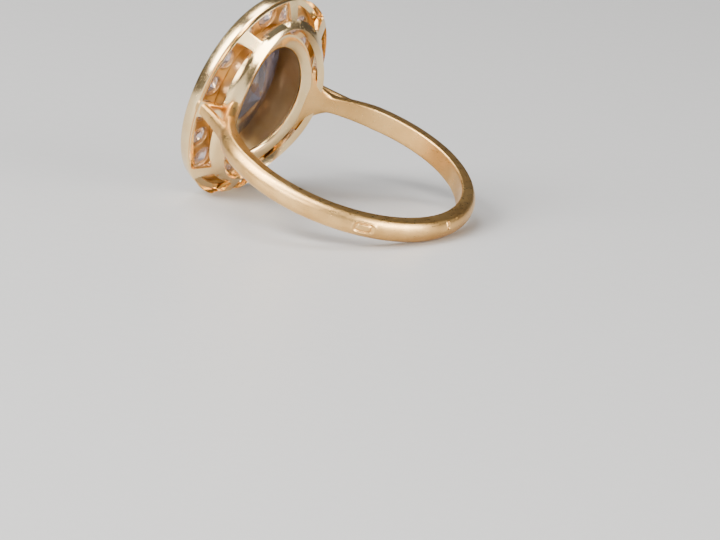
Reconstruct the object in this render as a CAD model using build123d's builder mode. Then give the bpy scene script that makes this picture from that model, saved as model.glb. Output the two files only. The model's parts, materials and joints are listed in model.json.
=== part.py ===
"""Cocktail ring: a large oval cluster head on a narrow half-round shank, lying on its side.

The ring rests on the edge of its head and on the back of its shank, as it does when it is put down.
Row frame: +Z up, the origin under the middle of the ring, the head towards -X.
Head frame ("bench"): x across the finger, y along the finger, z from the finger's axis to the head.
Lengths are in millimetres, angles in degrees.
"""
import os
from math import atan2, cos, degrees, pi, radians, sin, sqrt

from build123d import *

# ---- driving dimensions -------------------------------------------------------------------------
finger_radius = 8.6          # finger hole

shank_width = 1.63           # along the finger
shank_side = 0.81            # height of the flat side of the band
shank_crown = 1.22           # height of the band at the top of its dome
shank_edge_round = 0.1       # rounding of the two edges that touch the finger
seam_angle = 60.0            # head axis to the solder seam between shank and shoulder

head_half_length = 8.2       # rim, along the finger
head_half_width = 6.35       # rim, across the finger
rim_back_height = 1.05       # finger hole to the back edge of the rim
rim_height = 1.05
rim_taper = 0.15             # the rim is smaller by this at its front edge
rim_wall = 0.6
rim_edge_round = 0.12

gallery_wall = 0.5
gallery_step = 0.1           # the rim stands proud of the gallery by this
gallery_foot_tuck = 0.6      # the foot's half length is less than the collet's by this
gallery_foot_flare = 0.35    # the foot's half width is more than the collet's by this
gallery_waist_margin = 0.5   # room round the ends of the collet at the wall's waist
gallery_waist_flare = 1.4    # the waist's half width is more than the collet's by this
gallery_foot_depth = 1.4     # the foot's outline lies this far inside the top of the finger hole
finger_relief = 0.05         # the head stands off the finger circle by this

window_count = 8
window_height = 0.68         # at the ends of the head
window_side_drop = 0.5       # the windows' foot is lower by this at the sides of the head
pillar_width = 1.1
window_reach = 3.0           # the windows are cut this far into the head from its outline

base_ring_thickness = 0.35
base_opening_end_margin = 1.1    # the opening's half length is less than the collet's by this
base_opening_side_margin = 0.55  # and its half width by this

arm_thickness = 1.1          # shoulder arms, along the finger
outer_arm_depth = 0.6
inner_arm_depth = 0.7
arm_flare_width = 4.4        # the inner arm widens to this at the foot of the gallery
arm_flare_length = 1.9       # and starts to widen at this distance from the head's foot
arm_flare_hollow = 0.3       # share of the way that the flare's hollow side stays from its corner

halo_count = 16
halo_stone_gap = 0.3         # stone to stone
halo_stone_side_gap = 0.025  # stone to rim, and stone to collet
halo_plate_drop = 0.2        # front edge of the rim down to the front of the plate
halo_plate_thickness = 0.35
halo_seat_width = 0.2       # the plate's holes are smaller than the stones by this
halo_girdle_rise = 0.1       # the stones' girdles stand in front of the plate by this
halo_crown = 0.34
halo_pavilion = 0.7
bead_radius = 0.3
bead_inset = 0.395           # bead's centre to the edge of the row of stones
bead_stem = 0.2

collet_wall = 0.42
culet_clearance = 0.05       # the centre stone's point stands in front of the base ring by this
centre_seat_depth = 0.05     # the collet's front edge lies behind the girdle by this
centre_stone_overlap = 0.12  # the stone's girdle sits on the collet by this
centre_crown = 1.0
centre_pavilion = 2.0
centre_table_share = 0.56
girdle_height = 0.08
facet_count = 16
culet_share = 0.04

claw_count = 8
claw_radius = 0.26
claw_tip_radius = 0.3
claw_reach = 0.5             # collet's front edge to the middle of the claw's tip
claw_lean = 0.12
claw_root = 1.0              # length of claw let into the collet

# ---- what follows from them ---------------------------------------------------------------------
shank_side_radius = finger_radius + shank_side
shank_crown_radius = finger_radius + shank_crown
dome_rise = shank_crown - shank_side
dome_radius = ((shank_width / 2) ** 2 + dome_rise ** 2) / (2 * dome_rise)

rim_back = finger_radius + rim_back_height
rim_front = rim_back + rim_height
rim_front_half_length = head_half_length - rim_taper

head_seat_radius = finger_radius + finger_relief
base_ring_radius = head_seat_radius + base_ring_thickness
gallery_foot = finger_radius - gallery_foot_depth
gallery_waist = head_seat_radius
gallery_top_half_length = head_half_length - gallery_step
gallery_top_half_width = head_half_width - gallery_step
window_foot = rim_back - window_height

rim_inner_half_length = head_half_length - rim_wall
rim_inner_half_width = head_half_width - rim_wall
oval_sum = rim_inner_half_length + rim_inner_half_width
oval_term = sqrt(
    (3 * rim_inner_half_length + rim_inner_half_width) * (rim_inner_half_length + 3 * rim_inner_half_width)
)
rim_inner_length = pi * (3 * oval_sum - oval_term)
# A row of touching places, one stone and one gap each, fills the line one stone radius inside the rim.
halo_stone_radius = (rim_inner_length - halo_count * halo_stone_gap) / (2 * halo_count + 2 * pi)
halo_seat_hole_radius = halo_stone_radius - halo_seat_width
bead_offset = halo_stone_radius - bead_inset
halo_half_length = rim_inner_half_length - halo_stone_radius - halo_stone_side_gap
halo_half_width = rim_inner_half_width - halo_stone_radius - halo_stone_side_gap
halo_plate_front = rim_front - halo_plate_drop
halo_plate_back = halo_plate_front - halo_plate_thickness
halo_girdle = halo_plate_front + halo_girdle_rise

collet_half_length = halo_half_length - halo_stone_radius - halo_stone_side_gap
collet_half_width = halo_half_width - halo_stone_radius - halo_stone_side_gap
centre_girdle = base_ring_radius + culet_clearance + centre_pavilion
collet_top = centre_girdle - centre_seat_depth
claw_line_half_length = collet_half_length - collet_wall / 2
claw_line_half_width = collet_half_width - collet_wall / 2
centre_half_length = collet_half_length - collet_wall + centre_stone_overlap
centre_half_width = collet_half_width - collet_wall + centre_stone_overlap
gallery_foot_half_length = collet_half_length - gallery_foot_tuck
gallery_foot_half_width = collet_half_width + gallery_foot_flare
gallery_waist_half_length = collet_half_length + gallery_waist_margin
gallery_waist_half_width = collet_half_width + gallery_waist_flare
window_arc_radius = (gallery_waist_half_width ** 2 + window_side_drop ** 2) / (2 * window_side_drop)
base_opening_half_length = collet_half_length - base_opening_end_margin
base_opening_half_width = collet_half_width - base_opening_side_margin

# The ring lies on the rim's back edge and on the side edge of the shank's back: one straight line.
lie_angle = degrees(
    atan2(head_half_length - shank_width / 2, rim_back + shank_side_radius)
)
lie_sin = sin(radians(lie_angle))
lie_cos = cos(radians(lie_angle))
axis_height = shank_width / 2 * lie_cos + shank_side_radius * lie_sin
reach_back = (shank_crown_radius - dome_radius) * lie_cos + dome_radius
reach_front = rim_front_half_length * lie_sin + rim_front * lie_cos

bench = Plane(
    origin=((reach_front - reach_back) / 2, 0, axis_height),
    x_dir=(0, -1, 0),
    z_dir=(-lie_cos, 0, lie_sin),
)
hoop = Plane(origin=bench.origin, x_dir=bench.x_dir, z_dir=-bench.y_dir)
finger_axis = Axis(bench.origin, bench.y_dir)
head_axis = Axis(bench.origin, bench.z_dir)


def head_plane(x, y, z):
    """A plane square to the head's axis, with its origin at a point of the head frame."""
    return Plane(origin=bench.from_local_coords((x, y, z)), x_dir=bench.x_dir, z_dir=bench.z_dir)


def radial_plane(angle):
    """The plane through the finger's axis at this angle from the head: x outwards, y along the finger."""
    outwards = bench.z_dir * cos(radians(angle)) + bench.x_dir * sin(radians(angle))
    return Plane(origin=bench.origin, x_dir=outwards, z_dir=outwards.cross(bench.y_dir))


def oval_point(half_width, half_length, angle):
    """The point of an oval at this parameter, from the end of its width."""
    return half_width * cos(radians(angle)), half_length * sin(radians(angle))


def oval_normal(half_width, half_length, angle):
    """The unit vector that points outwards, square to an oval's line, at this parameter."""
    return Vector(half_length * cos(radians(angle)), half_width * sin(radians(angle))).normalized()


def even_angles(half_width, half_length, count, start):
    """Parameters of points evenly spaced along an oval's line, start steps after its width's end."""
    steps = 3600
    lengths = [0.0]
    for step in range(steps):
        middle = 2 * pi * (step + 0.5) / steps
        speed = sqrt((half_width * sin(middle)) ** 2 + (half_length * cos(middle)) ** 2)
        lengths.append(lengths[-1] + speed)
    angles = []
    for place in range(count):
        wanted = lengths[-1] * (place + start) / count
        step = min(range(steps + 1), key=lambda index: abs(lengths[index] - wanted))
        angles.append(360.0 * step / steps)
    return angles


def save(block, name):
    """Label a finished piece and write it to its STEP file."""
    block.part.label = name
    export_step(block.part, f"parts/{name}.step")


def faceted_stone(x, y, girdle, half_width, half_length, crown, pavilion, table_share):
    """A cut stone: pavilion, upright girdle and crown, each a ring of flat facets."""
    levels = [
        (girdle - pavilion, culet_share),
        (girdle - girdle_height / 2, 1.0),
        (girdle + girdle_height / 2, 1.0),
        (girdle + crown, table_share),
    ]
    turn = 360 / facet_count
    outline = [oval_point(half_width, half_length, turn * (place + 0.5)) for place in range(facet_count)]
    with BuildPart() as stone:
        for height, share in levels:
            with BuildSketch(head_plane(x, y, height)):
                Polygon(*[(u * share, v * share) for u, v in outline], align=None)
        loft(ruled=True)
    return stone


os.makedirs("parts", exist_ok=True)

# ---- shank --------------------------------------------------------------------------------------
# Half-round band section, from the finger's axis outwards: flat sides and a domed outside.
with BuildSketch() as band_section:
    half_band = shank_width / 2
    with BuildLine():
        Line((finger_radius, -half_band), (shank_side_radius, -half_band))
        ThreePointArc(
            (shank_side_radius, -half_band), (shank_crown_radius, 0), (shank_side_radius, half_band)
        )
        Line((shank_side_radius, half_band), (finger_radius, half_band))
        Line((finger_radius, half_band), (finger_radius, -half_band))
    make_face()
    fillet(band_section.vertices().group_by(Axis.X)[0], shank_edge_round)

with BuildPart() as shank:
    with BuildSketch(radial_plane(seam_angle)):
        add(band_section.sketch)
    revolve(axis=finger_axis, revolution_arc=360 - 2 * seam_angle)
save(shank, "shank")

# ---- head volumes that other pieces are fitted to ------------------------------------------------
gallery_sections = [
    (gallery_foot, gallery_foot_half_width, gallery_foot_half_length),
    (gallery_waist, gallery_waist_half_width, gallery_waist_half_length),
    (rim_back, gallery_top_half_width, gallery_top_half_length),
]

with BuildPart() as gallery_outside:
    for height, half_width, half_length in gallery_sections:
        with BuildSketch(head_plane(0, 0, height)):
            Ellipse(half_width, half_length)
    loft(ruled=True)

with BuildPart() as gallery_inside:
    for height, half_width, half_length in gallery_sections:
        with BuildSketch(head_plane(0, 0, height)):
            Ellipse(half_width - gallery_wall, half_length - gallery_wall)
    loft(ruled=True)

with BuildPart() as finger_space:
    with BuildSketch(Plane(origin=bench.origin, z_dir=bench.y_dir)):
        Circle(head_seat_radius)
    extrude(amount=2 * head_half_length, both=True)

with BuildPart() as base_ring_space:
    with BuildSketch(Plane(origin=bench.origin, z_dir=bench.y_dir)):
        Circle(base_ring_radius)
    extrude(amount=2 * head_half_length, both=True)

# ---- gallery: flared oval wall with a row of windows under the rim ------------------------------
# The windows' foot is an arc across the head, so it runs beside the back edge of the wall.
pillar_turn = 360 / window_count
with BuildPart() as window_space:
    for window in range(window_count):
        first = pillar_turn * window
        last = first + pillar_turn
        start_edge = Vector(*oval_point(gallery_top_half_width, gallery_top_half_length, first))
        end_edge = Vector(*oval_point(gallery_top_half_width, gallery_top_half_length, last))
        start_out = oval_normal(gallery_top_half_width, gallery_top_half_length, first)
        end_out = oval_normal(gallery_top_half_width, gallery_top_half_length, last)
        start_side = start_edge + Vector(-start_out.Y, start_out.X) * (pillar_width / 2)
        end_side = end_edge + Vector(end_out.Y, -end_out.X) * (pillar_width / 2)
        with BuildSketch(head_plane(0, 0, window_foot - window_side_drop)):
            Polygon(
                start_side - start_out * window_reach,
                start_side + start_out * window_reach,
                end_side + end_out * window_reach,
                end_side - end_out * window_reach,
                align=None,
            )
        extrude(amount=window_side_drop + window_height)
    arc_centre = head_plane(0, 0, window_foot - window_arc_radius).origin
    with BuildSketch(Plane(origin=arc_centre, z_dir=bench.y_dir)):
        Circle(window_arc_radius)
    extrude(amount=2 * head_half_length, both=True, mode=Mode.SUBTRACT)

with BuildPart() as gallery:
    add(gallery_outside.part)
    add(gallery_inside.part, mode=Mode.SUBTRACT)
    add(finger_space.part, mode=Mode.SUBTRACT)
    add(window_space.part, mode=Mode.SUBTRACT)
save(gallery, "gallery")

# ---- base ring: the plate round the opening behind the centre stone ------------------------------
with BuildPart() as base_ring:
    add(base_ring_space.part)
    add(gallery_inside.part, mode=Mode.INTERSECT)
    add(finger_space.part, mode=Mode.SUBTRACT)
    with BuildSketch(bench):
        Ellipse(base_opening_half_width, base_opening_half_length)
    extrude(amount=rim_front, mode=Mode.SUBTRACT)
save(base_ring, "base_ring")

# ---- rim band -----------------------------------------------------------------------------------
with BuildPart() as rim_band:
    with BuildSketch(head_plane(0, 0, rim_back)):
        Ellipse(head_half_width, head_half_length)
    with BuildSketch(head_plane(0, 0, rim_front)):
        Ellipse(head_half_width - rim_taper, rim_front_half_length)
    loft(ruled=True)
    with BuildSketch(head_plane(0, 0, rim_back)):
        Ellipse(rim_inner_half_width, rim_inner_half_length)
    extrude(amount=rim_height, mode=Mode.SUBTRACT)
    front_face = rim_band.faces().filter_by(bench).sort_by(head_axis)[-1]
    fillet(front_face.outer_wire().edges(), rim_edge_round)
save(rim_band, "rim_band")

# ---- shoulders: the forked pieces that carry the head -------------------------------------------
outer_arm_out = gallery_top_half_width
outer_arm_in = outer_arm_out - outer_arm_depth
inner_arm_radius = finger_radius + inner_arm_depth
fork_angle = degrees(atan2(outer_arm_out, sqrt(shank_side_radius ** 2 - outer_arm_out ** 2)))
fork_height = sqrt(inner_arm_radius ** 2 - outer_arm_in ** 2)
notch_foot = (gallery_foot_half_width, sqrt(inner_arm_radius ** 2 - gallery_foot_half_width ** 2))
notch_corner = (outer_arm_in, fork_height)
notch_top = (outer_arm_in, rim_back - window_height / 2)
flare_start = gallery_foot_half_width + arm_flare_length
flare_hollow_x = gallery_foot_half_width + arm_flare_hollow * arm_flare_length
flare_hollow_y = (arm_thickness + arm_flare_hollow * (arm_flare_width - arm_thickness)) / 2

with BuildPart() as inner_arm_space:
    with BuildSketch(Plane(origin=bench.origin, z_dir=bench.y_dir)):
        Circle(inner_arm_radius)
        Circle(finger_radius, mode=Mode.SUBTRACT)
    extrude(amount=arm_flare_width, both=True)

for name, side in (("shoulder_near", 1), ("shoulder_far", -1)):
    flare_foot = side * gallery_foot_half_width
    with BuildPart() as flare:
        with BuildSketch(bench):
            with BuildLine():
                ThreePointArc(
                    (flare_foot, arm_flare_width / 2),
                    (side * flare_hollow_x, flare_hollow_y),
                    (side * flare_start, arm_thickness / 2),
                )
                Line((side * flare_start, arm_thickness / 2), (side * flare_start, -arm_thickness / 2))
                ThreePointArc(
                    (side * flare_start, -arm_thickness / 2),
                    (side * flare_hollow_x, -flare_hollow_y),
                    (flare_foot, -arm_flare_width / 2),
                )
                Line((flare_foot, -arm_flare_width / 2), (flare_foot, arm_flare_width / 2))
            make_face()
        extrude(amount=rim_back)
        add(inner_arm_space.part, mode=Mode.INTERSECT)

    with BuildPart() as shoulder:
        with BuildSketch(radial_plane(side * fork_angle)):
            add(band_section.sketch)
        revolve(axis=finger_axis, revolution_arc=side * (seam_angle - fork_angle))
        with BuildSketch(hoop):
            with BuildLine():
                Line((side * outer_arm_out, 0), (side * outer_arm_out, rim_back))
                Line((side * outer_arm_out, rim_back), (0, rim_back))
                Line((0, rim_back), (0, 0))
                Line((0, 0), (side * outer_arm_out, 0))
            make_face()
            Circle(finger_radius, mode=Mode.SUBTRACT)
            with BuildLine():
                Polyline(
                    (side * notch_foot[0], notch_foot[1]),
                    (side * notch_corner[0], notch_corner[1]),
                    (side * notch_top[0], notch_top[1]),
                    close=True,
                )
            make_face(mode=Mode.SUBTRACT)
        extrude(amount=arm_thickness / 2, both=True)
        add(flare.part)
        add(gallery_outside.part, mode=Mode.SUBTRACT)
    save(shoulder, name)

# ---- centre stone, collet and claws -------------------------------------------------------------
centre_stone = faceted_stone(
    0, 0, centre_girdle, centre_half_width, centre_half_length,
    centre_crown, centre_pavilion, centre_table_share,
)
save(centre_stone, "centre_stone")

claws = []
for place in range(claw_count):
    angle = 360 * place / claw_count
    x, y = oval_point(claw_line_half_width, claw_line_half_length, angle)
    with BuildPart() as claw:
        with BuildSketch(head_plane(x, y, collet_top - claw_root)):
            Circle(claw_radius)
        extrude(amount=claw_root + claw_reach)
        inwards = Vector(x, y).normalized() * claw_lean
        with Locations(head_plane(x - inwards.X, y - inwards.Y, collet_top + claw_reach)):
            Sphere(claw_tip_radius)
        add(centre_stone.part, mode=Mode.SUBTRACT)
    save(claw, f"claw_{place + 1}")
    claws.append(claw)

with BuildPart() as collet:
    with BuildSketch(bench):
        Ellipse(collet_half_width, collet_half_length)
        Ellipse(collet_half_width - collet_wall, collet_half_length - collet_wall, mode=Mode.SUBTRACT)
    extrude(amount=collet_top)
    add(base_ring_space.part, mode=Mode.SUBTRACT)
    add(centre_stone.part, mode=Mode.SUBTRACT)
    for claw in claws:
        add(claw.part, mode=Mode.SUBTRACT)
save(collet, "collet")

# ---- halo: stones, their plate and the beads that hold them --------------------------------------
halo_stones = []
halo_angles = even_angles(halo_half_width, halo_half_length, halo_count, 0.5)
for place, angle in enumerate(halo_angles):
    x, y = oval_point(halo_half_width, halo_half_length, angle)
    name = f"halo_stone_{place + 1:02d}"
    stone = faceted_stone(
        x, y, halo_girdle, halo_stone_radius, halo_stone_radius,
        halo_crown, halo_pavilion, centre_table_share,
    )
    save(stone, name)
    halo_stones.append(stone)

with BuildPart() as halo_plate:
    with BuildSketch(head_plane(0, 0, halo_plate_back)):
        Ellipse(rim_inner_half_width, rim_inner_half_length)
        Ellipse(collet_half_width, collet_half_length, mode=Mode.SUBTRACT)
        for angle in halo_angles:
            with Locations(oval_point(halo_half_width, halo_half_length, angle)):
                Circle(halo_seat_hole_radius, mode=Mode.SUBTRACT)
    extrude(amount=halo_plate_thickness)
    for stone in halo_stones:
        add(stone.part, mode=Mode.SUBTRACT)
    for claw in claws:
        add(claw.part, mode=Mode.SUBTRACT)
save(halo_plate, "halo_plate")

with BuildPart() as halo_beads:
    for angle in even_angles(halo_half_width, halo_half_length, halo_count, 0.0):
        x, y = oval_point(halo_half_width, halo_half_length, angle)
        outwards = oval_normal(halo_half_width, halo_half_length, angle)
        for side in (1, -1):
            shift = outwards * (side * bead_offset)
            with BuildSketch(head_plane(x + shift.X, y + shift.Y, halo_plate_front)):
                Circle(bead_radius)
            extrude(amount=bead_stem)
            with Locations(head_plane(x + shift.X, y + shift.Y, halo_plate_front + bead_stem)):
                Sphere(bead_radius)
    add(rim_band.part, mode=Mode.SUBTRACT)
    add(collet.part, mode=Mode.SUBTRACT)
    add(halo_plate.part, mode=Mode.SUBTRACT)
    for piece in halo_stones + claws:
        add(piece.part, mode=Mode.SUBTRACT)
save(halo_beads, "halo_beads")
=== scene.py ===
import json

import bmesh
import bpy
import numpy as np
from mathutils import Matrix, Vector


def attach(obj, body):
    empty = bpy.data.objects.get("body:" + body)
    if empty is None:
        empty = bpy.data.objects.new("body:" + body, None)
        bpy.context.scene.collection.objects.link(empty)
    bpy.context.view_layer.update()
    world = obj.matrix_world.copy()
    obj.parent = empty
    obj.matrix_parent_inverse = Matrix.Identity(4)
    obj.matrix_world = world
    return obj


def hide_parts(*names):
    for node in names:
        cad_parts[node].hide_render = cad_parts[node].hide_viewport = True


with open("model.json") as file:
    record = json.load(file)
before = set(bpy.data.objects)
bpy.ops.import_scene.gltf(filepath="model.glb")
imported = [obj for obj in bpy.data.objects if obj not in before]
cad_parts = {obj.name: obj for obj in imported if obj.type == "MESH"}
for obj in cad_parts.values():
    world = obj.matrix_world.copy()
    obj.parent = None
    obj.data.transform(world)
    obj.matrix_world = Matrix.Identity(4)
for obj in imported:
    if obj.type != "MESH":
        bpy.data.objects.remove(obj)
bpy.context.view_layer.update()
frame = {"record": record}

# ---- shank --------------------------------------------------------------------------------------
# A narrow half-round band of warm gold, bent to a hoop and soldered to the two shoulders.
# It is a section carried round the finger; a blank stamp and a small nick are pressed into its dome.

# All of the ring is drawn in millimetres on bench axes that stand on the finger hole's axis: x across
# the finger, y along it, z towards the head.
MM = 0.001
bore = next(mount for mount in frame["record"]["mounts"] if mount["name"] == "finger_bore")
bench_origin = np.array(bore["pos_m"])
finger_radius = bore["dims"]["r_mm"]
along_finger = np.array(bore["axis"])
to_head = np.array([-along_finger[2], 0.0, along_finger[0]])
across_finger = np.cross(along_finger, to_head)
bench_axes = np.array([across_finger, along_finger, to_head])


def to_row(points):
    """Points in millimetres on the bench axes become metres on the axes of the whole scene."""
    return bench_origin + (np.asarray(points, float) * MM) @ bench_axes


def grid_faces(rows, columns, close_rows=False, close_columns=False):
    """Quads of a grid of points kept row by row, wrapped round in either direction where it closes."""
    row = np.arange(rows if close_rows else rows - 1)[:, None]
    column = np.arange(columns if close_columns else columns - 1)[None, :]
    next_row = (row + 1) % rows
    next_column = (column + 1) % columns
    corners = [row * columns + column, next_row * columns + column,
               next_row * columns + next_column, row * columns + next_column]
    return np.stack([np.broadcast_to(c, (row.size, column.size)).ravel() for c in corners], axis=1)


def tube_faces(rows, count):
    """Faces of closed loops of points, one loop a row: quads between the loops and a flat end on each."""
    last = (rows - 1) * count
    return list(grid_faces(rows, count, close_columns=True)) + [range(count), range(last, last + count)]


def shaped(points, faces, steps=(), weld=0.0, outwards=True):
    """A mesh in millimetres, welded and turned outwards, with its modifiers worked into it in turn."""
    mesh = bpy.data.meshes.new("work")
    mesh.from_pydata(np.asarray(points, float).tolist(), [], [np.asarray(face).tolist() for face in faces])
    work = bmesh.new()
    work.from_mesh(mesh)
    if weld:
        bmesh.ops.remove_doubles(work, verts=work.verts, dist=weld)
    if outwards:
        bmesh.ops.recalc_face_normals(work, faces=work.faces)
    work.to_mesh(mesh)
    work.free()
    if not steps:
        return mesh
    thing = bpy.data.objects.new("work", mesh)
    bpy.context.scene.collection.objects.link(thing)
    for kind, settings in steps:
        modifier = thing.modifiers.new(kind.lower(), kind)
        for key, value in settings.items():
            setattr(modifier, key, value)
    graph = bpy.context.evaluated_depsgraph_get()
    done = bpy.data.meshes.new_from_object(thing.evaluated_get(graph))
    bpy.data.objects.remove(thing)
    return done


def finished(name, mesh, material, nodes, smooth_angle=40.0):
    points = np.empty(len(mesh.vertices) * 3)
    mesh.vertices.foreach_get("co", points)
    mesh.vertices.foreach_set("co", to_row(points.reshape(-1, 3)).ravel())
    mesh.name = name
    mesh.materials.clear()
    mesh.materials.append(material)
    mesh.polygons.foreach_set("use_smooth", np.full(len(mesh.polygons), smooth_angle > 0))
    if smooth_angle > 0:
        mesh.set_sharp_from_angle(angle=np.radians(smooth_angle))
    mesh.update()
    piece = bpy.data.objects.new(name, mesh)
    bpy.context.scene.collection.objects.link(piece)
    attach(piece, "root")
    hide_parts(*nodes)
    return piece


def node(tree, kind, inputs=(), **settings):
    """A shader node with its settings and its input values or links."""
    made = tree.nodes.new(kind)
    for key, value in settings.items():
        setattr(made, key, value)
    for key, value in dict(inputs).items():
        if isinstance(value, bpy.types.NodeSocket):
            tree.links.new(value, made.inputs[key])
        else:
            made.inputs[key].default_value = value
    return made


def gold(name, light, deep, roughness, wear, pits):
    """Polished gold: two tones in soft clouds, fine scratches in two crossing directions, which dull it
    by the wear given, a fine grain, and small pits in patches."""
    material = bpy.data.materials.new(name)
    material.use_nodes = True
    tree = material.node_tree
    shader = tree.nodes["Principled BSDF"]
    place = node(tree, "ShaderNodeTexCoord").outputs["Object"]

    clouds = node(tree, "ShaderNodeTexNoise", {"Vector": place, "Scale": 420.0, "Detail": 4.0})
    tones = node(tree, "ShaderNodeValToRGB", {"Fac": clouds.outputs["Fac"]})
    tones.color_ramp.elements[0].position = 0.35
    tones.color_ramp.elements[0].color = (*deep, 1.0)
    tones.color_ramp.elements[1].position = 0.65
    tones.color_ramp.elements[1].color = (*light, 1.0)
    tree.links.new(tones.outputs["Color"], shader.inputs["Base Color"])

    heights = []
    for turn, stretch in ((0.4, (9000.0, 700.0, 9000.0)), (-0.9, (800.0, 8000.0, 8000.0))):
        lines = node(tree, "ShaderNodeMapping", {"Vector": place, "Rotation": (turn, 0.3, turn),
                                                 "Scale": stretch})
        scratch = node(tree, "ShaderNodeTexNoise", {"Vector": lines.outputs["Vector"], "Scale": 1.0,
                                                    "Detail": 3.0, "Roughness": 0.6})
        heights.append(scratch.outputs["Fac"])
    scratches = node(tree, "ShaderNodeMath", {0: heights[0], 1: heights[1]}, operation="ADD")

    dots = node(tree, "ShaderNodeTexVoronoi", {"Vector": place, "Scale": 5200.0})
    grain = node(tree, "ShaderNodeTexNoise", {"Vector": place, "Scale": 15000.0, "Detail": 3.0,
                                              "Roughness": 0.7})
    sparse = node(tree, "ShaderNodeTexNoise", {"Vector": place, "Scale": 700.0, "Detail": 2.0})
    dot_size = node(tree, "ShaderNodeMapRange", {"Value": sparse.outputs["Fac"], "From Min": 0.52,
                                                 "From Max": 0.75, "To Min": 0.0, "To Max": 0.34})
    pit = node(tree, "ShaderNodeMath", {0: dots.outputs["Distance"], 1: dot_size.outputs["Result"]},
               operation="LESS_THAN")

    polish = node(tree, "ShaderNodeMapRange", {"Value": scratches.outputs["Value"], "From Min": 0.7,
                                               "From Max": 1.3, "To Min": roughness,
                                               "To Max": roughness + wear})
    dulled = node(tree, "ShaderNodeMath", {0: pit.outputs["Value"], 1: pits * 0.5,
                                           2: polish.outputs["Result"]}, operation="MULTIPLY_ADD")
    tree.links.new(dulled.outputs["Value"], shader.inputs["Roughness"])

    grain_bump = node(tree, "ShaderNodeBump", {"Height": grain.outputs["Fac"], "Strength": 0.06 * wear,
                                               "Distance": 0.000004})
    lines_bump = node(tree, "ShaderNodeBump", {"Height": scratches.outputs["Value"],
                                               "Strength": 0.08 * wear, "Distance": 0.000006,
                                               "Normal": grain_bump.outputs["Normal"]})
    pits_bump = node(tree, "ShaderNodeBump", {"Height": pit.outputs["Value"], "Strength": pits,
                                              "Distance": 0.000012,
                                              "Normal": lines_bump.outputs["Normal"]}, invert=True)
    tree.links.new(pits_bump.outputs["Normal"], shader.inputs["Normal"])
    shader.inputs["Metallic"].default_value = 1.0
    return material


shank_gold = gold("shank gold", (0.87, 0.54, 0.20), (0.70, 0.40, 0.13), 0.25, 0.16, 0.5)

shank_width = 1.63
shank_side = 0.81
shank_crown = 1.22
seam_angle = 60.0
seam_lap = 2.0
section_middle = 0.6
inner_round = 0.14
dome_edge = 0.09


def arc_points(centre, radius, start, stop, count):
    """Points on an arc of a circle, from one angle to another, in degrees."""
    turn = np.radians(np.linspace(start, stop, count))
    return np.stack([centre[0] + radius * np.cos(turn), centre[1] + radius * np.sin(turn)], axis=1)


def band_section(width, side, crown, dome_count=25):
    """Closed outline (height over the finger, along the finger): flat inside and sides, domed outside.
    The dome's radius is (half width squared + rise squared) / twice the rise."""
    half, rise = width / 2, crown - side
    dome = (half ** 2 + rise ** 2) / (2 * rise)
    lean = np.degrees(np.arcsin(half / dome))
    dome_arc = arc_points((crown - dome, 0.0), dome, -lean * 0.93, lean * 0.93, dome_count)
    near = arc_points((inner_round, -half + inner_round), inner_round, 180, 270, 6)
    far = arc_points((inner_round, half - inner_round), inner_round, 90, 180, 6)
    corner = [(side - dome_edge, -half), (side - dome_edge * 0.35, -half + 0.012)]
    mirrored = [(height, -place) for height, place in corner[::-1]]
    flat = [(0.0, place) for place in np.linspace(half - inner_round, inner_round - half, 7)[1:-1]]
    return np.concatenate([near, corner, dome_arc, mirrored, far, flat])


def hoop_points(angles, sections):
    """Sections stood on the finger's circle, each at its angle from the head: the height over the
    finger adds to its radius, which sine and cosine turn into x and z."""
    turn = np.radians(angles).reshape(len(angles), -1)
    reach = finger_radius + sections[..., 0]
    return np.stack([reach * np.sin(turn), sections[..., 1] + 0 * turn, reach * np.cos(turn)], axis=-1)


def tapered(sections, share):
    """Sections drawn in about their middle by up to a twentieth, as the share goes from 0 to 1. Past the
    seam each piece's end is so much smaller that it runs into the other."""
    middle = np.array([section_middle, 0.0])
    return middle + (sections - middle) * (1 - 0.05 * np.clip(share, 0, 1))[:, None, None]


def stamp_depth(angles, places, centre, half_size, depth):
    """Depth of a blank stamp. Its edge is where the fourth powers of the shares of its half sizes add up
    to 1. The line is a bell curve on the edge and the burr a lower one outside it; the floor is a step."""
    line_width = 0.2
    burr_place = 1.4
    burr_width = 0.16
    burr_share = 0.35
    floor_share = 0.25
    along = np.radians(angles - centre[0])[:, None] * (finger_radius + shank_crown) / half_size[0]
    aside = (places - centre[1]) / half_size[1]
    edge = (along ** 4 + aside ** 4) ** 0.25
    line = np.exp(-((edge - 1.0) / line_width) ** 2)
    burr = burr_share * np.exp(-((edge - burr_place) / burr_width) ** 2)
    floor = floor_share / (1 + np.exp(np.clip((edge - 0.95) / 0.05, -50, 50)))
    return depth * (line + floor - burr)


stamp_centre = (140.3, 0.03)
stamp_half_size = (0.6, 0.3)
stamp_sink = 0.1
nick_centre = (184.0, 0.42)
nick_half_size = (0.13, 0.2)
nick_sink = 0.08
coarse = np.linspace(seam_angle - seam_lap, 360 - seam_angle + seam_lap, 264)
fine_at_stamp = np.linspace(stamp_centre[0] - 7, stamp_centre[0] + 7, 120)
fine_at_nick = np.linspace(nick_centre[0] - 4, nick_centre[0] + 4, 50)
shank_angles = np.unique(np.concatenate([coarse, fine_at_stamp, fine_at_nick]).round(3))
section = band_section(shank_width, shank_side, shank_crown, 81)
sections = np.repeat(section[None], len(shank_angles), axis=0)
on_dome = sections[..., 0] > shank_side
sink = stamp_depth(shank_angles, sections[..., 1], stamp_centre, stamp_half_size, stamp_sink)
sink += stamp_depth(shank_angles, sections[..., 1], nick_centre, nick_half_size, nick_sink)
filing = 0.012
waves = 0.6 * np.sin(np.radians(shank_angles) * 7 + 1) + 0.4 * np.sin(np.radians(shank_angles) * 17)
sections[..., 0] += np.where(on_dome, filing * (waves[:, None] - 1) - sink, 0.0)
from_head = np.minimum(shank_angles, 360 - shank_angles)
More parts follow.
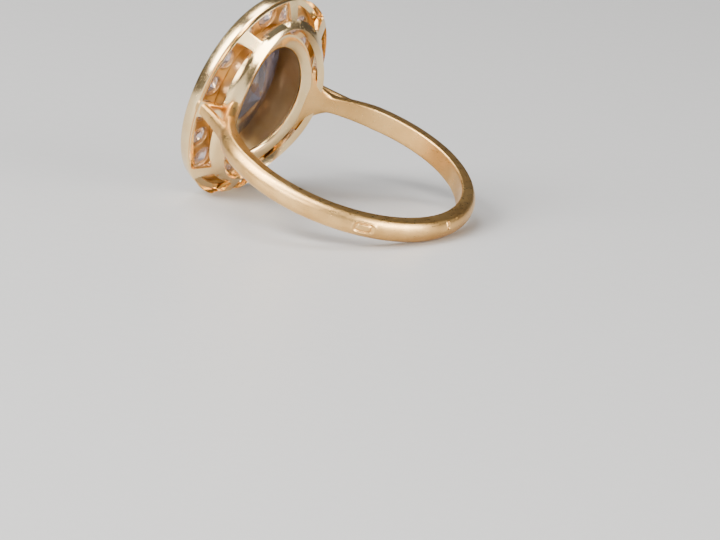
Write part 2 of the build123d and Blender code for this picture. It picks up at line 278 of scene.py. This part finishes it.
sections = tapered(sections, (seam_angle + seam_lap - from_head) / (2 * seam_lap))
shank_points = hoop_points(shank_angles, sections)
shank_faces = tube_faces(len(shank_angles), len(section))
finished("shank_band", shaped(shank_points.reshape(-1, 3), shank_faces), shank_gold,
         ["shank"], 50.0)

# ---- gallery ------------------------------------------------------------------------------------
# The gallery is a flared oval wall of gold sheet behind the rim, pierced with eight oblong windows.
# Its back edge is filed to the finger's curve; the bars between the windows carry the rim.
head_half_length = 8.2
head_half_width = 6.35
rim_overlap = 0.1
rim_back = finger_radius + 1.05
wall_foot = (4.1, 5.0)
wall_power = (1.367, 1.98)
wall_flare = (head_half_width - rim_overlap - wall_foot[0], head_half_length - rim_overlap - wall_foot[1])
window_height = 0.68
window_side_drop = 0.47
window_splay = 8.0
head_gold = gold("head gold", (0.98, 0.75, 0.41), (0.90, 0.62, 0.29), 0.13, 0.1, 0.25)
window_count = 8
foot_level = finger_radius - 1.4
head_back = finger_radius + 0.05
gallery_wall = 0.5


def joined(*pieces):
    """Several closed pieces as one list of points and faces."""
    points, faces, start = [], [], 0
    for piece_points, piece_faces in pieces:
        points.append(piece_points)
        faces += [start + np.asarray(face) for face in piece_faces]
        start += len(piece_points)
    return np.concatenate(points), faces


def wall_size(height):
    """Half width and half length of the wall's outside at a height: both flare as a power of it."""
    share = np.clip((height - foot_level) / (rim_back - foot_level), 0, 1)
    half_width = wall_foot[0] + wall_flare[0] * share ** wall_power[0]
    half_length = wall_foot[1] + wall_flare[1] * share ** wall_power[1]
    return half_width, half_length


def wall_points(turn, height, sink=0.0):
    """Outside of the gallery at an oval's parameter and a height: half sizes times cosine and sine. The
    sink is a way inwards along the surface's normal, which is the cross product of its two slopes."""
    half_width, half_length = wall_size(height)
    wider = (wall_size(height + 0.01)[0] - wall_size(height - 0.01)[0]) / 0.02
    longer = (wall_size(height + 0.01)[1] - wall_size(height - 0.01)[1]) / 0.02
    normal = np.stack([half_length * np.cos(turn), half_width * np.sin(turn),
                       -wider * half_length * np.cos(turn) ** 2
                       - longer * half_width * np.sin(turn) ** 2], axis=-1)
    normal /= np.linalg.norm(normal, axis=-1, keepdims=True)
    face = np.stack([half_width * np.cos(turn), half_length * np.sin(turn), height + 0 * turn], axis=-1)
    return face - normal * np.asarray(sink + 0 * turn)[..., None]


def back_edge(turn):
    """Height where the wall's outside meets the finger's curve, by halving the interval: there the
    squares of its height and of its place across the finger add up to the square of the radius."""
    low, high = np.full(turn.shape, foot_level), np.full(turn.shape, rim_back)
    for _ in range(40):
        middle = (low + high) / 2
        inside = middle ** 2 + (wall_size(middle)[0] * np.cos(turn)) ** 2 < head_back ** 2
        low, high = np.where(inside, middle, low), np.where(inside, high, middle)
    return (low + high) / 2


def window_foot(turn):
    """The windows' lower edge follows an arc: lower at the sides of the head than at its ends."""
    return rim_back - window_height - window_side_drop * np.cos(turn) ** 2


def foot_turn(turn):
    """The windows' ends are cut square to the rim, so their feet lie further round than their tops."""
    return turn + np.radians(window_splay) * np.sin(2 * turn)


def chamfer_sink(along, off_foot):
    """Depth of the chamfer along the windows' foot: it falls in a straight line from the foot to nothing
    where the share of the way off it is 1, and runs out towards the bars."""
    from_bar = np.minimum(along, 1 - along)
    return foot_chamfer * np.clip(1 - off_foot, 0, 1) * np.clip((from_bar - chamfer_end) / chamfer_run, 0, 1)


# The wall below the windows: columns bunched at the bars, rows from the back edge to the windows' foot.
per_window = 24
cell = 0.5 - 0.5 * np.cos(np.pi * np.arange(per_window) / per_window)
foot_chamfer = 0.17
chamfer_end = 0.14
chamfer_run = 0.1
chamfer_rise = 0.24
turn = foot_turn(((np.arange(window_count)[:, None] + cell) * 2 * np.pi / window_count).ravel())
lower, foot = back_edge(turn), window_foot(turn)
share = np.linspace(0, 1, 12)[:, None] ** 0.8
height = lower * (1 - share) + foot * share
sink = chamfer_sink(np.tile(cell, window_count), (foot - height) / chamfer_rise)
pieces = [(wall_points(turn[None, :] + 0 * share, height, sink).reshape(-1, 3),
           grid_faces(12, len(turn), close_columns=True))]

# The wall beside each window is a ring of quads from the cell's border to the window's rounded oblong.
window_pitch = 5.85
cell_height = 0.95
bar_width = 1.1
window_corner = 0.13
tall = 0.5 - 0.5 * np.cos(np.pi * np.arange(8) / 8)
outer = np.concatenate([np.stack([cell, 0 * cell], 1), np.stack([1 + 0 * tall, tall], 1),
                        np.stack([1 - cell, 1 + 0 * cell], 1), np.stack([0 * tall, 1 - tall], 1)])
half_hole = np.array([(window_pitch - bar_width) / 2, cell_height / 2 * 0.96])
square = (outer * 2 - 1) * half_hole
inner = np.clip(square, window_corner - half_hole, half_hole - window_corner)
beyond = square - inner
hole = inner + beyond * window_corner / np.maximum(np.linalg.norm(beyond, axis=1, keepdims=True), 1e-9)
hole = 0.5 + hole / np.array([window_pitch, cell_height])
for window in range(window_count):
    steps = np.linspace(0, 1, 4)[:, None, None]
    places = outer * (1 - steps) + hole * steps
    along, upward = places[..., 0], places[..., 1]
    top_turn = (window + along) * 2 * np.pi / window_count
    low_turn = foot_turn(top_turn)
    foot = window_foot(low_turn)
    sink = chamfer_sink(along, upward / 0.3)
    cell_points = wall_points(low_turn * (1 - upward) + top_turn * upward,
                              foot + upward * (rim_back - foot), sink)
    pieces.append((cell_points.reshape(-1, 3), grid_faces(4, len(outer), close_columns=True)))
gallery_points, gallery_faces = joined(*pieces)
gallery_mesh = shaped(gallery_points, gallery_faces, weld=1e-4, steps=[
    ("SOLIDIFY", {"thickness": gallery_wall, "offset": -1.0, "use_even_offset": True}),
    ("BEVEL", {"width": 0.05, "segments": 3, "limit_method": "ANGLE", "angle_limit": 0.7}),
])
finished("gallery_wall", gallery_mesh, head_gold, ["gallery"], 35.0)

# ---- shoulders ----------------------------------------------------------------------------------
# Each shoulder is a forked gold piece: a stem that meets the shank at the solder seam, an inner arm
# down to the back of the head and an outer arm up to its rim, run together with solder.
arm_start_angle = 50.0
flare_angle = 43.0
arm_end_angle = 27.0
arm_half_width = 0.62
arm_half_depth = 0.44
arm_clearance = 0.01
flare_widening = 1.75
tip_thinning = 0.6
tip_reach = 3.5
stem_thinning = (0.3, 0.3, 0.4)
pool_thickness = 0.34
pool_sink = 0.08
pool_spread = np.radians(11)
outer_arm_corners = [(7.63, 5.14), (7.05, 6.1), (6.45, 7.9), (6.05, rim_back + 0.16)]


def swept(path, widths, depths, count=20):
    """A closed rod: an oblong section, cosine and sine over the fourth root of the sum of their fourth
    powers, carried along a path in the hoop's plane. Its width lies along the finger, its depth in it."""
    run = np.gradient(path, axis=0)
    run /= np.linalg.norm(run, axis=1, keepdims=True)
    out = np.stack([run[:, 1], -run[:, 0]], axis=1)
    turn = np.linspace(0, 2 * np.pi, count, endpoint=False)
    fullness = (np.cos(turn) ** 4 + np.sin(turn) ** 4) ** -0.25
    depth = np.cos(turn) * fullness * depths[:, None] / 2
    width = np.sin(turn) * fullness * widths[:, None] / 2
    points = np.stack([path[:, None, 0] + out[:, None, 0] * depth, width,
                       path[:, None, 1] + out[:, None, 1] * depth], axis=-1)
    return points.reshape(-1, 3), tube_faces(len(path), count)


def bezier(corners, count):
    """Points of a cubic curve: its four corner points, weighted by (1 - t) cubed, 3 t (1 - t) squared,
    3 t squared (1 - t) and t cubed, as t goes from 0 to 1."""
    t = np.linspace(0, 1, count)[:, None]
    weights = [(1 - t) ** 3, 3 * t * (1 - t) ** 2, 3 * t ** 2 * (1 - t), t ** 3]
    return sum(weight * np.array(corner, float) for weight, corner in zip(weights, corners))


def solder_pool(rows=24):
    """A skin over the gallery's wall where the arms meet it: a bell curve of thickness both ways, which
    sinks into the wall at its border. Loops of outside and inside points, from the wall's back edge."""
    turns = np.radians(np.linspace(-30, 30, 49))
    rise = np.linspace(0, 1, rows)[:, None]
    height = (back_edge(turns) + 0.03) * (1 - rise) + (window_foot(turns) - 0.4) * rise
    spread = turns[None, :] + 0 * rise
    thick = pool_thickness * np.exp(-(spread / pool_spread) ** 2 - (rise / 0.6) ** 2) - pool_sink
    outside = wall_points(spread, height, -thick)
    inside = wall_points(spread, height, 0.35)
    loops = np.concatenate([outside, inside[:, ::-1]], axis=1)
    return loops.reshape(-1, 3), tube_faces(rows, loops.shape[1])


def stem():
    """The shank's section carried on round the finger past the seam, growing thinner as it goes."""
    angles = np.linspace(seam_angle + seam_lap, arm_end_angle, 46)
    thinning = np.clip((seam_angle - angles) / (seam_angle - arm_end_angle) / 0.6, 0, 1)
    sizes = np.array([shank_width, shank_side, shank_crown]) - np.outer(thinning, stem_thinning)
    sections = np.stack([band_section(*size, 17) for size in sizes])
    points = hoop_points(angles, tapered(sections, (angles - seam_angle) / seam_lap))
    return points.reshape(-1, 3), tube_faces(*sections.shape[:2])


def inner_arm(rows=40, count=40):
    """An oblong section carried round the finger, whose half width grows as the square of the way from
    where it begins to flare. Its tips are thinner and reach further round, to lie along the wall."""
    angles = np.linspace(arm_start_angle, arm_end_angle, rows)
    flare = np.clip((flare_angle - angles) / (flare_angle - arm_end_angle), 0, 1)
    around = np.linspace(0, 2 * np.pi, count, endpoint=False)
    fullness = (np.cos(around) ** 4 + np.sin(around) ** 4) ** -0.25
    half_width = arm_half_width + flare_widening * flare ** 2
    place = half_width[:, None] * np.sin(around) * fullness
    outwards = (place / (arm_half_width + flare_widening)) ** 2
    height = arm_half_depth * (1 + np.cos(around) * fullness) + arm_clearance
    loops = np.stack([height * (1 - tip_thinning * outwards), place], axis=-1)
    points = hoop_points(angles[:, None] - tip_reach * outwards, loops)
    return points.reshape(-1, 3), tube_faces(rows, count)


def shoulder(name, side, cad_node):
    """The stem, the two arms and the solder become one skin, smoothed so that their joins are round."""
    steps = 28
    outer_arm = swept(bezier(outer_arm_corners, steps), np.linspace(1.2, 0.9, steps),
                      np.linspace(0.74, 0.56, steps))
    points, faces = joined(stem(), inner_arm(), outer_arm, solder_pool())
    points[:, 0] *= side
    mesh = shaped(points, faces, steps=[
        ("REMESH", {"mode": "VOXEL", "voxel_size": 0.05, "adaptivity": 0.0}),
        ("SMOOTH", {"factor": 0.5, "iterations": 24}),
    ])
    finished(name, mesh, shank_gold, [cad_node], 60.0)


shoulder("near_shoulder", 1, "shoulder_near")
shoulder("far_shoulder", -1, "shoulder_far")

# ---- base ring ----------------------------------------------------------------------------------
# A plate of gold round the opening at the back of the head, soldered into the foot of the gallery.
# It follows the finger's curve and its edge is bevelled towards the stone.
opening = (3.2, 4.5)
ring_profile = np.array([(0.0, 0.3), (0.0, 0.2), (0.05, 0.12), (0.35, 0.0), (0.8, 0.0), (1.0, 0.0),
                         (1.0, 0.35), (0.5, 0.35), (0.06, 0.35)])


def oval_ring(turn, profile, inner, outer_size, level):
    """A profile carried round between two ovals: its first value is the share of the way out, its second
    the height over a cylinder on the finger's axis, so z is the root of radius squared less x squared."""
    share, height = profile[:, 0][None, :], profile[:, 1][None, :]
    x = (inner[0] * (1 - share) + outer_size[0] * share) * np.cos(turn)[:, None]
    y = (inner[1] * (1 - share) + outer_size[1] * share) * np.sin(turn)[:, None]
    radius = level + height
    return np.stack([x, y, np.sqrt(radius ** 2 - x ** 2)], axis=-1)


ring_turn = np.linspace(0, 2 * np.pi, 192, endpoint=False)
ring_edge = back_edge(ring_turn)
edge_width, edge_length = wall_size(ring_edge)
ring_outer = (edge_width[:, None] - gallery_wall * 0.8, edge_length[:, None] - gallery_wall * 0.8)
ring_points = oval_ring(ring_turn, ring_profile, opening, ring_outer, head_back)
ring_mesh = shaped(ring_points.reshape(-1, 3),
                   grid_faces(len(ring_turn), len(ring_profile), close_rows=True, close_columns=True),
                   steps=[("BEVEL", {"width": 0.03, "segments": 2, "limit_method": "ANGLE",
                                     "angle_limit": 0.6})])
finished("base_plate", ring_mesh, head_gold, ["base_ring"], 40.0)

# ---- rim ----------------------------------------------------------------------------------------
# The rim is a bright band bent to the oval and soldered round the front of the gallery.
# Its outside is slightly crowned and its front edge is burnished over.
rim_front = rim_back + 1.05
rim_wall = 0.6


def oval_band(half_width, half_length, profile, count=256):
    """A closed profile carried round an oval: its first value goes outwards, square to the oval's line,
    and its second is the height."""
    turn = np.linspace(0, 2 * np.pi, count, endpoint=False)
    normal = np.stack([half_length * np.cos(turn), half_width * np.sin(turn)], axis=1)
    normal /= np.linalg.norm(normal, axis=1, keepdims=True)
    x = half_width * np.cos(turn)[:, None] + normal[:, :1] * profile[:, 0][None, :]
    y = half_length * np.sin(turn)[:, None] + normal[:, 1:] * profile[:, 0][None, :]
    z = np.broadcast_to(profile[:, 1][None, :], x.shape)
    points = np.stack([x, y, z], axis=-1).reshape(-1, 3)
    return points, grid_faces(count, len(profile), close_rows=True, close_columns=True)


rim_crown = 0.15
crown_share = np.linspace(0, 1, 9)
rim_side = np.stack([-rim_crown * crown_share ** 1.5,
                     rim_back + 0.08 + crown_share * (rim_front - rim_back - 0.3)], axis=1)
rim_lip = arc_points((-0.36, rim_front - 0.2), 0.2, 0, 90, 7)
rim_profile = np.concatenate([
    [(-0.08, rim_back)], rim_side, rim_lip,
    [(-0.52, rim_front - 0.04), (-rim_wall, rim_front - 0.14), (-rim_wall, rim_front - 0.6),
     (-rim_wall, rim_back + 0.05), (-rim_wall + 0.05, rim_back), (-0.3, rim_back)],
])
rim_points, rim_faces = oval_band(head_half_width, head_half_length, rim_profile)
finished("rim", shaped(rim_points, rim_faces), head_gold, ["rim_band"], 40.0)

# ---- collet -------------------------------------------------------------------------------------
# The collet is the inner oval wall of gold that carries the centre stone; it stands on the base ring.
stone_radius = 0.975
halo_half_width = head_half_width - rim_wall - stone_radius - 0.025
halo_half_length = head_half_length - rim_wall - stone_radius - 0.025
collet_half_width = halo_half_width - stone_radius - 0.025
collet_half_length = halo_half_length - stone_radius - 0.025
collet_wall = 0.42
collet_foot = head_back + 0.35
collet_top = collet_foot + 2.0
collet_gold = gold("collet gold", (0.94, 0.67, 0.33), (0.83, 0.53, 0.22), 0.28, 0.08, 0.2)

collet_profile = np.array([
    (0.0, 0.0), (0.0, 0.5), (0.0, 0.93), (-0.03, 0.975), (-0.10, 1.0), (-0.2, 1.02), (-0.3, 1.03),
    (-0.39, 1.02), (-collet_wall, 0.99), (-collet_wall, 0.5), (-collet_wall, 0.0), (-0.21, 0.0),
])
collet_points, collet_faces = oval_band(collet_half_width, collet_half_length, collet_profile)
foot_height = np.sqrt(collet_foot ** 2 - collet_points[:, 0] ** 2)
collet_points[:, 2] = foot_height + collet_points[:, 2] * (collet_top - foot_height)
finished("centre_collet", shaped(collet_points, collet_faces), collet_gold, ["collet"], 40.0)

# ---- centre stone -------------------------------------------------------------------------------
# An oval cut stone of smoky lilac grey, held by its girdle between the collet and the claws.


def cut_stone(half_width, half_length, crown, pavilion, table=0.56, girdle=0.08):
    """A brilliant cut: an eight-sided table, eight kites and sixteen girdle triangles in front, and
    eight long kites and sixteen triangles behind. Each kite's inner corner is put in its flat plane."""
    eighth = np.radians(45) * np.arange(8)
    half_step = np.radians(22.5)

    def ring(turns, radius, height):
        return np.stack([radius * np.cos(turns), radius * np.sin(turns), np.full(turns.shape, height)], 1)

    star, star_flat = 0.78, 0.78 * np.cos(half_step)
    star_height = crown + (girdle / 2 - crown) * (star_flat - table) / (1 - table)
    deep, deep_flat = 0.22, 0.22 * np.cos(half_step)
    deep_height = -pavilion + (pavilion - girdle / 2) * deep_flat
    sixteenth = half_step * np.arange(16)
    points = np.concatenate([
        ring(eighth, table, crown), ring(eighth + half_step, star, star_height),
        ring(sixteenth, 1.0, girdle / 2), ring(sixteenth, 1.0, -girdle / 2),
        ring(eighth + half_step, deep, deep_height), [(0, 0, -pavilion)],
    ])
    points *= np.array([half_width, half_length, 1.0])
    faces = [list(range(8))]
    for k in range(8):
        after, before = (k + 1) % 8, (k - 1) % 8
        top, low = 16 + 2 * k, 32 + 2 * k
        faces += [
            (k, 8 + k, after), (k, 8 + before, top, 8 + k),
            (8 + k, top, top + 1), (8 + k, top + 1, 16 + (2 * k + 2) % 16),
            (48 + k, low + 1, low), (48 + k, 32 + (2 * k + 2) % 16, low + 1),
            (56, 48 + k, low, 48 + before),
        ]
    for k in range(16):
        faces.append((16 + k, 32 + k, 32 + (k + 1) % 16, 16 + (k + 1) % 16))
    return points, faces


def gem(name, tint, shade, roughness):
    """Clear coloured stone: light passes through it, in two tones that drift through the stone."""
    material = bpy.data.materials.new(name)
    material.use_nodes = True
    tree = material.node_tree
    shader = tree.nodes["Principled BSDF"]
    place = node(tree, "ShaderNodeTexCoord").outputs["Object"]
    drift = node(tree, "ShaderNodeTexNoise", {"Vector": place, "Scale": 260.0, "Detail": 3.0})
    tones = node(tree, "ShaderNodeValToRGB", {"Fac": drift.outputs["Fac"]})
    tones.color_ramp.elements[0].position = 0.3
    tones.color_ramp.elements[0].color = (*shade, 1.0)
    tones.color_ramp.elements[1].position = 0.7
    tones.color_ramp.elements[1].color = (*tint, 1.0)
    tree.links.new(tones.outputs["Color"], shader.inputs["Base Color"])
    film = node(tree, "ShaderNodeTexNoise", {"Vector": place, "Scale": 2400.0, "Detail": 3.0})
    haze = node(tree, "ShaderNodeMapRange", {"Value": film.outputs["Fac"], "From Min": 0.4,
                                             "From Max": 0.8, "To Min": roughness,
                                             "To Max": roughness + 0.06})
    tree.links.new(haze.outputs["Result"], shader.inputs["Roughness"])
    shader.inputs["Transmission Weight"].default_value = 0.85
    shader.inputs["IOR"].default_value = 1.72
    return material


centre_gem = gem("centre stone", (0.17, 0.15, 0.19), (0.08, 0.07, 0.09), 0.02)
centre_girdle = collet_top + 0.05
edge_in_collet = 0.12
centre_crown = 1.0
centre_pavilion = 2.0
centre_half_width = collet_half_width - collet_wall + edge_in_collet
centre_half_length = collet_half_length - collet_wall + edge_in_collet
stone_points, stone_faces = cut_stone(centre_half_width, centre_half_length, centre_crown, centre_pavilion)
stone_points[:, 2] += centre_girdle
finished("centre_gem", shaped(stone_points, stone_faces), centre_gem, ["centre_stone"], 0)

# ---- claws --------------------------------------------------------------------------------------
# Eight gold wires let into the collet, bent over the stone's edge and rounded at their ends.
claw_count = 8
wire_radius = 0.19
tip_radius = 0.28


def claw_mesh(x, y):
    """A round wire whose line leans in by the 1.5th power of the height; its circles swell to the tip,
    where their radius falls as a cosine."""
    lean = np.array([x, y]) / np.hypot(x, y)
    rise = np.concatenate([np.linspace(-1.0, 0.45, 12), 0.45 + 0.27 * np.sin(np.linspace(0.2, 1.55, 7))])
    radius = np.concatenate([np.full(8, wire_radius), [0.22, 0.25, 0.265, tip_radius],
                             tip_radius * np.cos(np.linspace(0.2, 1.5, 7))])
    bend = 0.22 * np.clip(rise, 0, 1) ** 1.5
    turn = np.linspace(0, 2 * np.pi, 16, endpoint=False)
    px = x - lean[0] * bend[:, None] + radius[:, None] * np.cos(turn)
    py = y - lean[1] * bend[:, None] + radius[:, None] * np.sin(turn)
    pz = collet_top + rise[:, None] + 0 * turn
    points = np.stack([px, py, pz], axis=-1).reshape(-1, 3)
    return shaped(points, tube_faces(len(rise), len(turn)))


for place in range(claw_count):
    angle = 2 * np.pi * place / claw_count
    claw_x = (collet_half_width - collet_wall / 2) * np.cos(angle)
    claw_y = (collet_half_length - collet_wall / 2) * np.sin(angle)
    finished(f"claw_wire_{place + 1}", claw_mesh(claw_x, claw_y), head_gold,
             [f"claw_{place + 1}"], 60.0)

# ---- halo ---------------------------------------------------------------------------------------
# Sixteen small pale stones stand in a pierced gold plate between the rim and the collet, with a pair
# of gold beads raised between each two of them.
halo_count = 16
plate_front = rim_front - 0.2
plate_thickness = 0.35
seat_radius = 0.8
halo_girdle = plate_front + 0.1
halo_gem = gem("halo stone", (0.93, 0.82, 0.82), (0.74, 0.62, 0.66), 0.015)


def even_turns(half_width, half_length, count, start):
    """Parameters of points evenly spaced along an oval, from its line's length summed in small steps."""
    fine_turn = np.linspace(0, 2 * np.pi, 7201)
    step = np.hypot(half_width * np.diff(np.cos(fine_turn)), half_length * np.diff(np.sin(fine_turn)))
    length = np.concatenate([[0], np.cumsum(step)])
    return np.interp((np.arange(count) + start) * length[-1] / count, length, fine_turn)


stone_turns = even_turns(halo_half_width, halo_half_length, halo_count, 0.5)
stone_places = np.stack([halo_half_width * np.cos(stone_turns), halo_half_length * np.sin(stone_turns)], 1)
halo_crown = 0.34
halo_pavilion = 0.7
small_points, small_faces = cut_stone(stone_radius, stone_radius, halo_crown, halo_pavilion)
for number, (x, y) in enumerate(stone_places, start=1):
    spot = np.array([x, y, halo_girdle])
    spin = 0.4 * number
    turned = small_points @ np.array([[np.cos(spin), np.sin(spin), 0], [-np.sin(spin), np.cos(spin), 0],
                                      [0, 0, 1]])
    finished(f"halo_gem_{number:02d}", shaped(turned + spot, small_faces), halo_gem,
             [f"halo_stone_{number:02d}"], 0)


def pierced_plate():
    """Sixteen cells side by side, each a ring of quads from the cell's border to its round hole."""
    turns = even_turns(halo_half_width, halo_half_length, halo_count, 0.0)
    turns = np.append(turns, turns[0] + 2 * np.pi)
    side = np.linspace(0, 1, 9)[:-1]
    border = np.concatenate([np.stack([side, 0 * side], 1), np.stack([1 + 0 * side, side], 1),
                             np.stack([1 - side, 1 + 0 * side], 1), np.stack([0 * side, 1 - side], 1)])
    inner_size = np.array([collet_half_width, collet_half_length])
    outer_size = np.array([head_half_width - rim_wall, head_half_length - rim_wall])
    cells = []
    for number in range(halo_count):
        turn = turns[number] + border[:, 0] * (turns[number + 1] - turns[number])
        size = inner_size + border[:, 1:] * (outer_size - inner_size)
        edge = np.stack([size[:, 0] * np.cos(turn), size[:, 1] * np.sin(turn)], 1)
        away = edge - stone_places[number]
        round_hole = stone_places[number] + seat_radius * away / np.linalg.norm(away, axis=1, keepdims=True)
        steps = np.linspace(0, 1, 3)[:, None, None]
        flat = edge * (1 - steps) + round_hole * steps
        points = np.concatenate([flat, np.full((*flat.shape[:2], 1), plate_front)], axis=-1)
        cells.append((points.reshape(-1, 3), grid_faces(3, len(border), close_columns=True)))
    return joined(*cells)


plate_points, plate_faces = pierced_plate()
plate_mesh = shaped(plate_points, plate_faces, weld=1e-4, steps=[
    ("SOLIDIFY", {"thickness": plate_thickness, "offset": -1.0}),
    ("BEVEL", {"width": 0.04, "segments": 2, "limit_method": "ANGLE", "angle_limit": 0.7}),
])
finished("halo_seat", plate_mesh, collet_gold, ["halo_plate"], 35.0)

bead_radius = 0.3
bead_offset = 0.58
bead_rise = np.array([0.0, 0.12, 0.2, 0.28, 0.36, 0.43, 0.48, 0.5])
bead_turns = even_turns(halo_half_width, halo_half_length, halo_count, 0.0)
beads = []
for turn in bead_turns:
    outwards = np.array([halo_half_length * np.cos(turn), halo_half_width * np.sin(turn)])
    outwards /= np.linalg.norm(outwards)
    for side in (1, -1):
        centre = np.array([halo_half_width * np.cos(turn), halo_half_length * np.sin(turn)])
        centre = centre + outwards * side * bead_offset
        radius = bead_radius * np.sqrt(np.clip(1 - (np.clip(bead_rise - 0.2, 0, 1) / 0.302) ** 2, 0, 1))
        around = np.linspace(0, 2 * np.pi, 14, endpoint=False)
        x = centre[0] + radius[:, None] * np.cos(around)
        y = centre[1] + radius[:, None] * np.sin(around)
        z = plate_front + bead_rise[:, None] + 0 * around
        beads.append((np.stack([x, y, z], -1).reshape(-1, 3), tube_faces(len(bead_rise), len(around))))
bead_points, bead_faces = joined(*beads)
finished("halo_grains", shaped(bead_points, bead_faces), head_gold, ["halo_beads"], 60.0)

# ---- table, light and camera --------------------------------------------------------------------
# A plain pale surface under the ring, soft boxes above and beside it, and a long close-up lens.
pale = bpy.data.materials.new("pale surface")
pale.use_nodes = True
pale_shader = pale.node_tree.nodes["Principled BSDF"]
pale_place = node(pale.node_tree, "ShaderNodeTexCoord").outputs["Object"]
pale_grain = node(pale.node_tree, "ShaderNodeTexNoise", {"Vector": pale_place, "Scale": 900.0})
pale_rough = node(pale.node_tree, "ShaderNodeMapRange", {"Value": pale_grain.outputs["Fac"],
                                                         "To Min": 0.35, "To Max": 0.5})
pale.node_tree.links.new(pale_rough.outputs["Result"], pale_shader.inputs["Roughness"])
pale_shader.inputs["Base Color"].default_value = (0.46, 0.46, 0.46, 1.0)
floor_half = 1.5
floor_mesh = bpy.data.meshes.new("surface")
floor_mesh.from_pydata([(-floor_half, -floor_half, 0), (floor_half, -floor_half, 0),
                        (floor_half, floor_half, 0), (-floor_half, floor_half, 0)], [], [(0, 1, 2, 3)])
floor_mesh.materials.append(pale)
floor = bpy.data.objects.new("surface", floor_mesh)
bpy.context.scene.collection.objects.link(floor)

world = bpy.data.worlds.new("studio")
bpy.context.scene.world = world
world.use_nodes = True
world.node_tree.nodes["Background"].inputs["Color"].default_value = (0.5, 0.52, 0.56, 1.0)
world.node_tree.nodes["Background"].inputs["Strength"].default_value = 0.2


def softbox(name, place, target, size, power, tint=(1.0, 1.0, 1.0)):
    """A square area light that faces a point."""
    light = bpy.data.lights.new(name, "AREA")
    light.shape = "RECTANGLE"
    light.size, light.size_y = size
    light.energy = power
    light.color = tint
    lamp = bpy.data.objects.new(name, light)
    bpy.context.scene.collection.objects.link(lamp)
    place, target = Vector(place), Vector(target)
    lamp.location = place
    lamp.rotation_euler = (target - place).to_track_quat("-Z", "Y").to_euler()
    return lamp


middle = (0.0, 0.0, 0.006)
softbox("key", (-0.18, -0.29, 0.245), middle, (0.28, 0.30), 3.6, (1.0, 0.98, 0.95))
softbox("front", (0.03, -0.28, 0.33), middle, (0.50, 0.11), 2.8, (1.0, 0.98, 0.95))
softbox("low", (0.07, -0.42, 0.13), middle, (0.30, 0.10), 1.0, (1.0, 0.97, 0.93))
softbox("top", (-0.14, 0.02, 0.42), middle, (0.18, 0.18), 1.2)
softbox("side", (0.38, 0.03, 0.09), middle, (0.30, 0.15), 2.4, (1.0, 0.98, 0.95))

lens_mm, sensor_mm = 229.2, 36.0
distance = 0.3314
turn_from_head = np.radians(33.0)
above_hoop = np.radians(26.3)
roll = np.radians(20.9)
away = np.sin(turn_from_head) * to_head + np.cos(turn_from_head) * -across_finger
rightwards = -np.cos(turn_from_head) * to_head + np.sin(turn_from_head) * -across_finger
back = -np.cos(above_hoop) * away + np.sin(above_hoop) * along_finger
level_up = np.cross(back, rightwards)
right = np.cos(roll) * rightwards + np.sin(roll) * level_up
up = -np.sin(roll) * rightwards + np.cos(roll) * level_up
camera_data = bpy.data.cameras.new("camera")
camera_data.lens, camera_data.sensor_width = lens_mm, sensor_mm
camera_data.clip_start, camera_data.clip_end = 0.01, 10.0
camera = bpy.data.objects.new("camera", camera_data)
bpy.context.scene.collection.objects.link(camera)
offset_right, offset_up = -0.00098, 0.00779
place = bench_origin + back * distance - right * offset_right - up * offset_up
camera.matrix_world = Matrix([
    [right[0], up[0], back[0], place[0]],
    [right[1], up[1], back[1], place[1]],
    [right[2], up[2], back[2], place[2]],
    [0, 0, 0, 1],
])
bpy.context.scene.camera = camera
